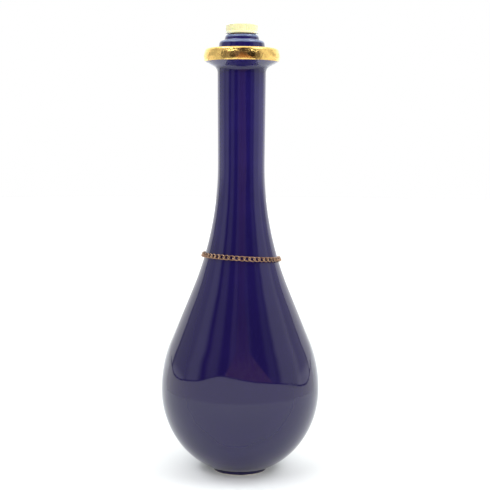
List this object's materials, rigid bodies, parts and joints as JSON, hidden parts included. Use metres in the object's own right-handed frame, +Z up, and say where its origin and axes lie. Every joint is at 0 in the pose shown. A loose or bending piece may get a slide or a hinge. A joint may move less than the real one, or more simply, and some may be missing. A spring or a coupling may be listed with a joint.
{
  "type": "decanter",
  "caption": "Tall-necked glazed decanter with a pear-shaped belly, gilded collar, stepped lip, ribbed cork stopper and a fine curb chain resting round the neck.",
  "frame": {"origin": "on the bottle's axis, at the surface it stands on", "axes": "+Z up along the axis to the stopper, -Y towards the front, +X to the right seen from the front"},
  "size_m": [0.1176, 0.1176, 0.3304],
  "materials": {
    "cobalt_glaze": "high gloss glaze",
    "gilding": "burnished gilding",
    "ivory_plastic": "moulded ribs",
    "cork": "natural cork",
    "chain_brass": "aged, browned in the gaps"
  },
  "bodies": {
    "bottle": {"vessel": "cobalt_glaze", "gilt_band": "gilding"},
    "stopper": {"stopper_head": "ivory_plastic", "cork_shank": "cork"},
    "neck_chain": {"link_01": "chain_brass", "link_02": "chain_brass", "link_03": "chain_brass", "link_04": "chain_brass", "link_05": "chain_brass", "link_06": "chain_brass", "link_07": "chain_brass", "link_08": "chain_brass", "link_09": "chain_brass", "link_10": "chain_brass", "link_11": "chain_brass", "link_12": "chain_brass", "link_13": "chain_brass", "link_14": "chain_brass", "link_15": "chain_brass", "link_16": "chain_brass", "link_17": "chain_brass", "link_18": "chain_brass", "link_19": "chain_brass", "link_20": "chain_brass", "link_21": "chain_brass", "link_22": "chain_brass", "link_23": "chain_brass", "link_24": "chain_brass", "link_25": "chain_brass", "link_26": "chain_brass", "link_27": "chain_brass", "link_28": "chain_brass", "link_29": "chain_brass", "link_30": "chain_brass", "link_31": "chain_brass", "link_32": "chain_brass", "link_33": "chain_brass", "link_34": "chain_brass", "link_35": "chain_brass", "link_36": "chain_brass", "link_37": "chain_brass", "link_38": "chain_brass", "link_39": "chain_brass", "link_40": "chain_brass", "link_41": "chain_brass", "link_42": "chain_brass", "link_43": "chain_brass", "link_44": "chain_brass", "link_45": "chain_brass", "link_46": "chain_brass", "link_47": "chain_brass", "link_48": "chain_brass"}
  },
  "joints": [
    {"name": "stopper_pull", "type": "slide", "parent": "bottle", "child": "stopper", "axis": [0, 0, 1], "range_m": [0, 0.06]},
    {"name": "chain_lift", "type": "slide", "parent": "bottle", "child": "neck_chain", "axis": [0, 0, 1], "range_m": [0, 0.134]}
  ]
}
